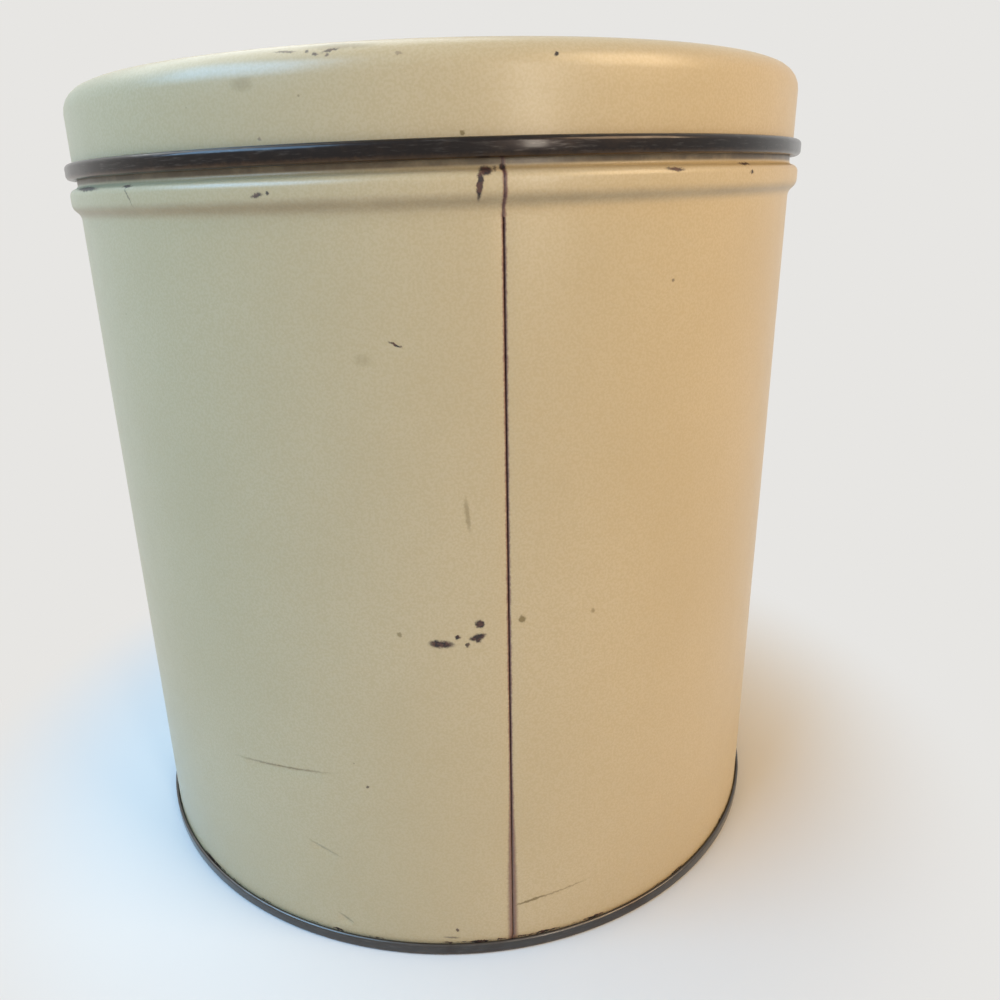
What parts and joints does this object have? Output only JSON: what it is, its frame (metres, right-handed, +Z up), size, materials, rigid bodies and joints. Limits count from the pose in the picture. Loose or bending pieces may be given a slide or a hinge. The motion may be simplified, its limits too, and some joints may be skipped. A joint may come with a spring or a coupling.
{
  "type": "round slip-lid tin",
  "caption": "Round tinplate storage tin with a push-on slip lid, stop bead, lock-seamed side and double-seamed base; the lid lifts off to open the full width of the inside.",
  "frame": {"origin": "centre of the ring that the tin stands on", "axes": "+Z up along the tin's axis, with the side seam of the body facing -Y"},
  "size_m": [0.1902, 0.1902, 0.203],
  "materials": {
    "body_enamel": "worn cream gloss enamel outside, bare tinplate inside",
    "lid_enamel": "worn cream gloss enamel outside, bare tinplate inside and on the curl",
    "bare_tinplate": "tarnished bare tinplate"
  },
  "bodies": {
    "tin": {"body_wall": "body_enamel", "base_end": "bare_tinplate"},
    "lid": {"slip_lid": "lid_enamel"}
  },
  "joints": [
    {"name": "lid_lift", "type": "slide", "parent": "tin", "child": "lid", "axis": [0, 0, 1], "range_m": [0, 0.15]}
  ]
}
